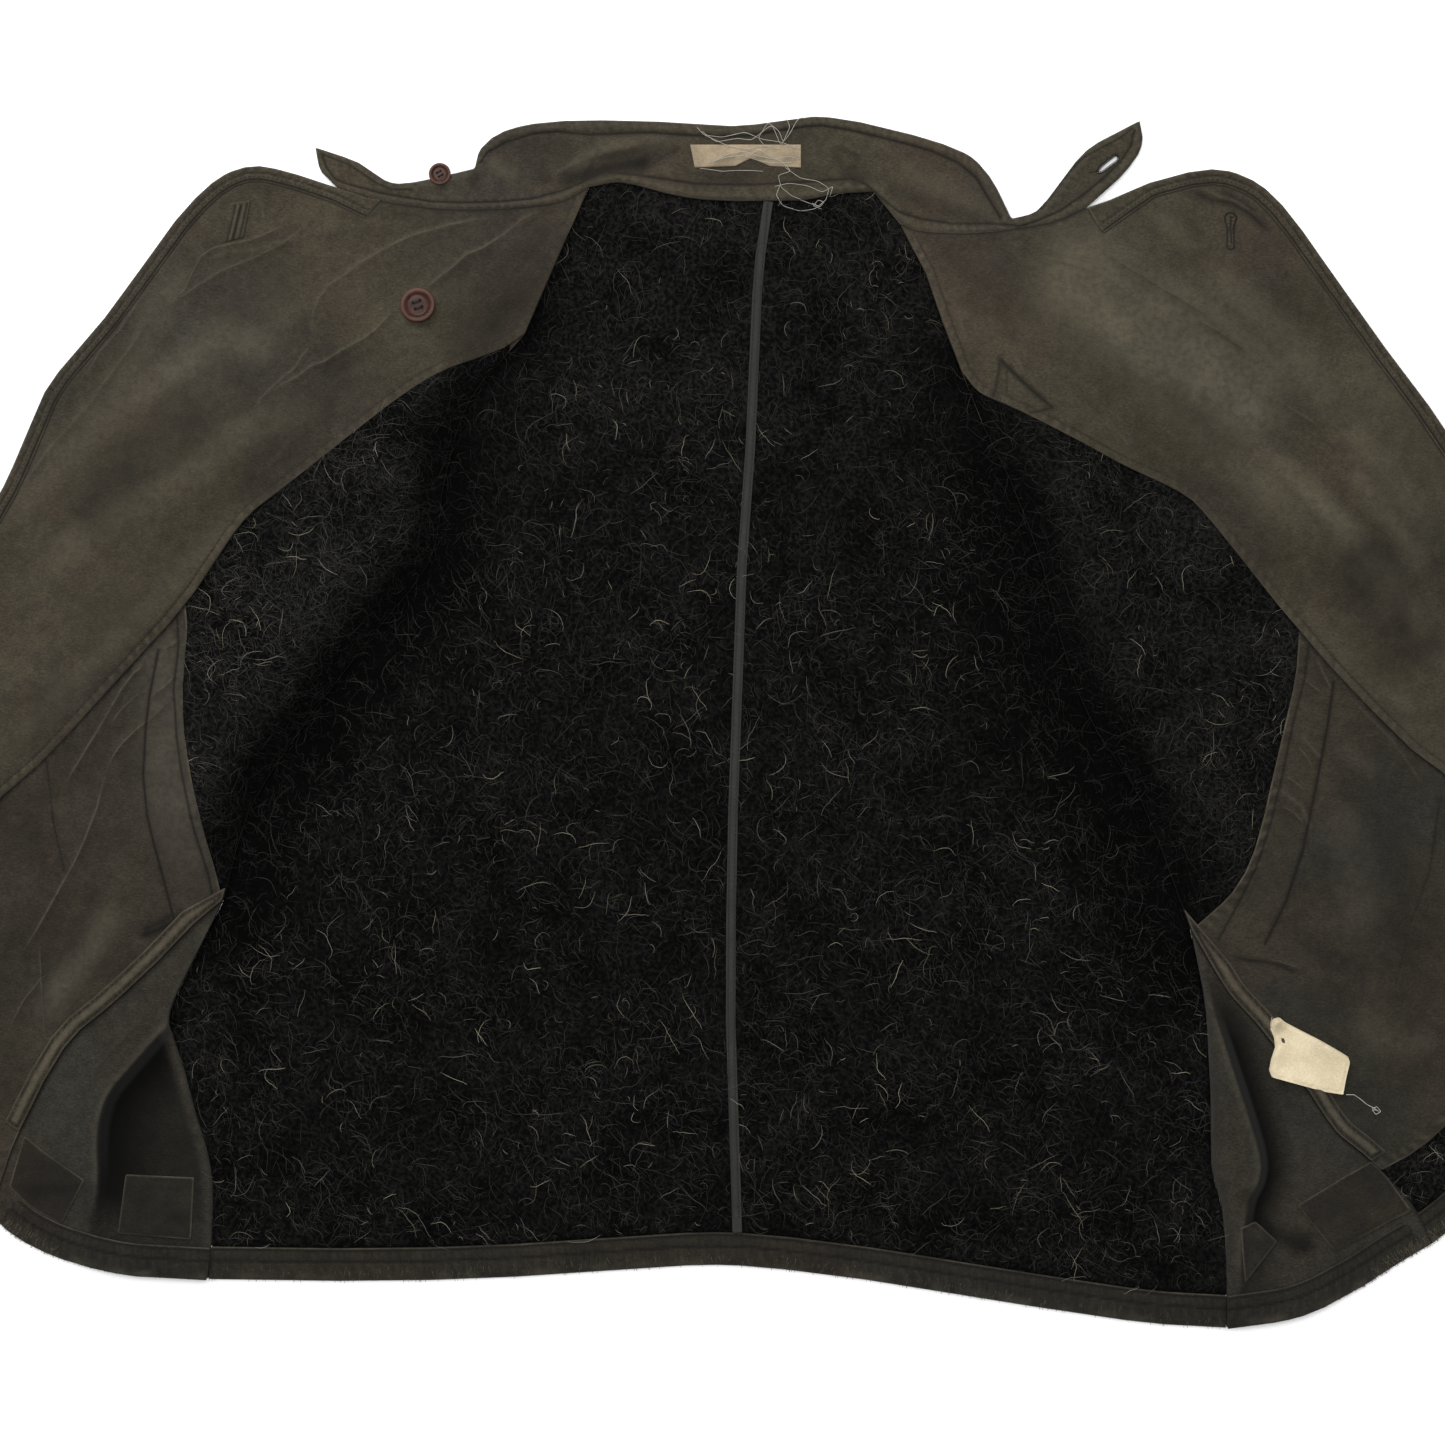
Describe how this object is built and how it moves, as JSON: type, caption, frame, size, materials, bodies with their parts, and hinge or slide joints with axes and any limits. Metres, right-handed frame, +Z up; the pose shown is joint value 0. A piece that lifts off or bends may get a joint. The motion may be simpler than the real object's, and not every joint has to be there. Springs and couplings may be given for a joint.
{
  "type": "wool-lined work jacket",
  "caption": "Wool-lined cotton work jacket laid open on its back, inside up, with stand collar, wide facings, side gussets and sleeves under the fronts.",
  "frame": {"origin": "centre of the jacket's footprint on the surface that it lies on", "axes": "+X across the jacket from the centre back towards the picture's right front, +Y up the back towards the collar, +Z up from the surface"},
  "size_m": [1.5456, 0.7717, 0.0273],
  "materials": {
    "twill": "worn cotton twill, matt, abraded at the hem",
    "wool": "black blanket wool with pale stray hairs",
    "tape": "grey woven tape, folded",
    "label": "plain frayed woven label",
    "care_label": "plain satin label",
    "button": "wine-brown, polished"
  },
  "bodies": {
    "root": {"back_hem_band": "twill", "back_shell": "twill", "buttonhole_binding": "twill", "collar_inner": "twill", "collar_outer": "twill", "facing_left": "twill", "facing_right": "twill", "front_edge_band_left": "twill", "front_edge_band_right": "twill", "front_hem_band_left": "twill", "front_hem_band_right": "twill", "front_shell_left": "twill", "front_shell_right": "twill", "hem_patch_back_left": "twill", "hem_patch_back_right": "twill", "hem_patch_front_left": "twill", "hem_patch_front_right": "twill", "pocket_patch_left": "twill", "pocket_patch_right": "twill", "side_gusset_left": "twill", "side_gusset_right": "twill", "side_seam_left": "twill", "side_seam_right": "twill", "sleeve_left": "twill", "sleeve_right": "twill", "back_wool_left": "wool", "back_wool_right": "wool", "front_wool_left": "wool", "front_wool_right": "wool", "centre_back_tape": "tape", "neck_label": "label", "care_label": "care_label", "button_large": "button", "button_small": "button"}
  },
  "joints": []
}
